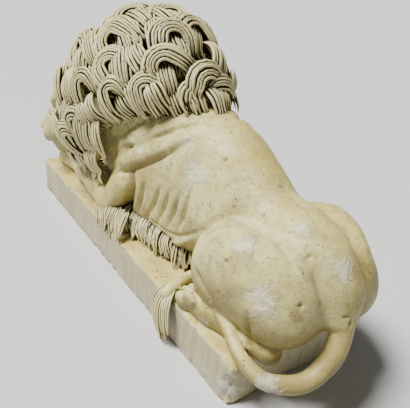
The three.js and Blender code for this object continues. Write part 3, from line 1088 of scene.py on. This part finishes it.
for piece in pieces:
    keep(piece, "hollow", hollow_share(piece) * (0.8 if piece is lion else 1))
skin = columns(lion.data.vertices, "co") / MM
under_hair = np.abs(shrunk(dome, UNDER_HAIR)(skin)) < 2.5
lion_hollow = np.zeros(len(skin), np.float32)
lion.data.attributes["hollow"].data.foreach_get("value", lion_hollow)
keep(lion, "groove", np.where(under_hair & (lion_hollow > 0.34), 1.6, 0.0))
print("rays sent from each point:", RAY_COUNT)

# %% [markdown]
# ## Marks of use
# Pale scuffs, a pitted patch, a small hole with a brown run below it: each mark is placed where the
# photograph shows it. A ray from the camera through that pixel finds its place on the stone.

# %% Finding a mark's place
SCUFF_PIXELS = {
    # pixel and radius in millimetres
    (193, 173): 15, (203, 178): 8, (243, 247): 11, (262, 300): 15, (302, 230): 8, (345, 271): 11,
    (187, 141): 7, (268, 388): 12, (225, 388): 13, (140, 150): 6, (203, 322): 6, (205, 370): 7}
STAIN_PIXELS = {(301, 306): 2.2, (296, 317): 7}


def marks(piece, pixels):
    points = columns(piece.data.vertices, "co") / MM
    values = np.zeros(len(points))
    for pixel, radius in pixels.items():
        place = seen_at(pixel)
        if place is None:
            continue
        near = np.linalg.norm(points - place, axis=1)
        values = np.maximum(values, np.clip(1.3 - near / radius, 0, 1))
    return values


for piece in pieces:
    keep(piece, "scuff", marks(piece, SCUFF_PIXELS))
    keep(piece, "stain", marks(piece, STAIN_PIXELS))

skin_out = columns(lion.data.vertex_normals, "vector")
upright_face = 1 - smoothstep(np.abs(skin_out[:, 2]), 0.3, 0.7)
near_side = np.minimum(np.abs(half[0] - np.abs(skin[:, 0])), np.abs(half[1] - np.abs(skin[:, 1]))) < 6
keep(lion, "dressed", upright_face * near_side * (skin[:, 2] < TOP))
# Painted shade: the low, down-facing surfaces of the haunch are darkened in colour where shade falls under
# them. Towards the tail end the stone is darkened too, partly painted shade and partly dirt.
low = (1 - smoothstep(skin[:, 2], TOP, TOP + 90)) * smoothstep(-skin[:, 0], 90, 130)
rear_shade_and_grime = 0.6 * smoothstep(-skin[:, 0], 185, 215)
painted_underside_shade = smoothstep(0.8 * low - skin_out[:, 2], -0.1, 0.7)
keep(lion, "painted_shade_and_rear_grime", np.maximum(painted_underside_shade, rear_shade_and_grime) * (skin[:, 2] > TOP))
keep(lion, "block", 1 - smoothstep(skin[:, 2], TOP, TOP + 3))
keep(lion, "combed", np.zeros(len(skin)))
for piece in pieces[1:]:
    none = np.zeros(len(piece.data.vertices))
    for name in ("dressed", "painted_shade_and_rear_grime", "block"):
        keep(piece, name, none)
    keep(piece, "combed", none + 1)
print("marks placed:", len(SCUFF_PIXELS) + len(STAIN_PIXELS))

# %% [markdown]
# ## The stone's finish
# The finish is one node tree. A small class stands for a socket, so that the sums of masks can be written as
# plain expressions, and one method adds any other node.


# %% Sockets as values
class Wire:
    def __init__(self, tree, socket):
        self.tree = tree
        self.socket = socket

    def node(self, kind, settings=None, inputs=None):
        made = self.tree.nodes.new(kind)
        for name, value in (settings or {}).items():
            setattr(made, name, value)
        for name, value in (inputs or {}).items():
            if isinstance(value, Wire):
                self.tree.links.new(value.socket, made.inputs[name])
            else:
                made.inputs[name].default_value = value
        return made

    def value_of(self, kind, settings=None, inputs=None, output=0):
        return Wire(self.tree, self.node(kind, settings, inputs).outputs[output])

    def math(self, operation, first, second):
        return self.value_of("ShaderNodeMath", {"operation": operation}, {0: first, 1: second})

    def __add__(self, other):
        return self.math("ADD", self, other)

    __radd__ = __add__

    def __mul__(self, other):
        return self.math("MULTIPLY", self, other)

    def __sub__(self, other):
        return self.math("SUBTRACT", self, other)

    def between(self, low, high):
        return self.value_of("ShaderNodeMapRange", {"interpolation_type": "SMOOTHSTEP"},
                             {"Value": self, "From Min": low, "From Max": high})

    def blend(self, first, second):
        return self.value_of("ShaderNodeMix", {"data_type": "RGBA"}, {0: self, 6: first, 7: second}, 2)


# %% Cream stone
def linear(red, green, blue):
    return tuple((channel / 255) ** 2.2 for channel in (red, green, blue)) + (1.0,)


CREAM = linear(213, 203, 140)
HONEY = linear(197, 176, 95)
PALE = linear(219, 208, 162)
DUST = linear(146, 134, 88)
OLIVE = linear(118, 105, 60)
DIRT = linear(60, 51, 30)
CHALK = linear(206, 204, 194)
RUST = linear(104, 76, 36)
GREY = linear(174, 168, 146)

stone = bpy.data.materials.new("weathered cream stone")
stone.use_nodes = True
tree = stone.node_tree
tree.nodes.clear()
start = Wire(tree, None)
place = start.value_of("ShaderNodeTexCoord", output="Object")


def cloud(scale, detail=4.0, roughness=0.55):
    return start.value_of("ShaderNodeTexNoise", {}, {
        "Vector": place, "Scale": scale, "Detail": detail, "Roughness": roughness})


def kept(name):
    return start.value_of("ShaderNodeAttribute", {"attribute_name": name}, output="Fac")


broad = cloud(9.0)
fine = cloud(70.0, 5.0, 0.65)
grain = cloud(420.0, 3.0, 0.6)
hollow = kept("hollow")
groove = kept("groove")
dressed = kept("dressed")
ragged = cloud(120.0, 5.0, 0.7)
scuff = (kept("scuff") + (ragged - 0.5) * 2.4).between(0.3, 0.95) * kept("scuff").between(0.0, 0.45)
stain = (kept("stain") + (ragged - 0.5) * 2.4).between(0.45, 1.0) * kept("stain").between(0.0, 0.4)
dirty = (hollow * 1.35 + groove * 0.5 + (fine - 0.5) * 0.4).between(0.25, 1.0)
upright_grain = start.value_of("ShaderNodeMapping", {}, {"Vector": place, "Scale": (1.0, 1.0, 0.08)})
streak = start.value_of("ShaderNodeTexNoise", {}, {
    "Vector": upright_grain, "Scale": 330.0, "Detail": 3.0, "Roughness": 0.6})

colour = (broad + (fine - 0.5) * 0.4).between(0.36, 0.66).blend(CREAM, HONEY)
colour = (kept("block") * 0.6).blend(colour, HONEY)
mottle = cloud(34.0, 6.0, 0.7).between(0.44, 0.62)
speckle = cloud(190.0, 3.0, 0.6).between(0.5, 0.62)
colour = (mottle * 0.4 + speckle * 0.35).blend(colour, DUST)
colour = (kept("combed") * 0.55).blend(colour, PALE)
colour = (dressed * 0.7).blend(colour, GREY)
colour = (dressed * streak.between(0.46, 0.66) * 0.55).blend(colour, DUST)
# Painted shade: the low, down-facing haunch turns olive, and so does the tail end, where it is partly dirt.
colour = (kept("painted_shade_and_rear_grime") * (0.55 + fine * 0.5)).blend(colour, OLIVE)
colour = (dirty * 0.55).blend(colour, OLIVE)
colour = (dirty * dirty).blend(colour, DIRT)
colour = (scuff * (0.15 + ragged * 0.55)).blend(colour, CHALK)
colour = (stain * 0.5).blend(colour, RUST)
pits = cloud(260.0, 2.0, 0.5).between(0.68, 0.74)
colour = (pits * 0.4).blend(colour, DIRT)
height = fine * 0.5 + grain * 0.25 - pits * 0.5 + scuff * fine * 0.8 + dressed * streak * 0.8
bump = start.value_of("ShaderNodeBump", {}, {"Height": height, "Strength": 0.9, "Distance": 0.002})
rough = (scuff * 0.25 + fine * 0.2 + dirty * 0.2) * 0.6 + 0.42
shader = start.node("ShaderNodeBsdfPrincipled", {}, {
    "Base Color": colour, "Roughness": rough, "Normal": bump, "Specular IOR Level": 0.4})
output = start.node("ShaderNodeOutputMaterial")
tree.links.new(shader.outputs[0], output.inputs["Surface"])
for piece in pieces:
    piece.data.materials.clear()
    piece.data.materials.append(stone)
print("nodes in the stone's finish:", len(tree.nodes))

# %% [markdown]
# ## Joining the body
# All pieces move with the statue's only body. The carved skin stands for the plain solid, and the hair lies
# on it.

# %% Ride, replace and finish
for piece in pieces:
    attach(piece, "root")
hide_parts("lion_statue")
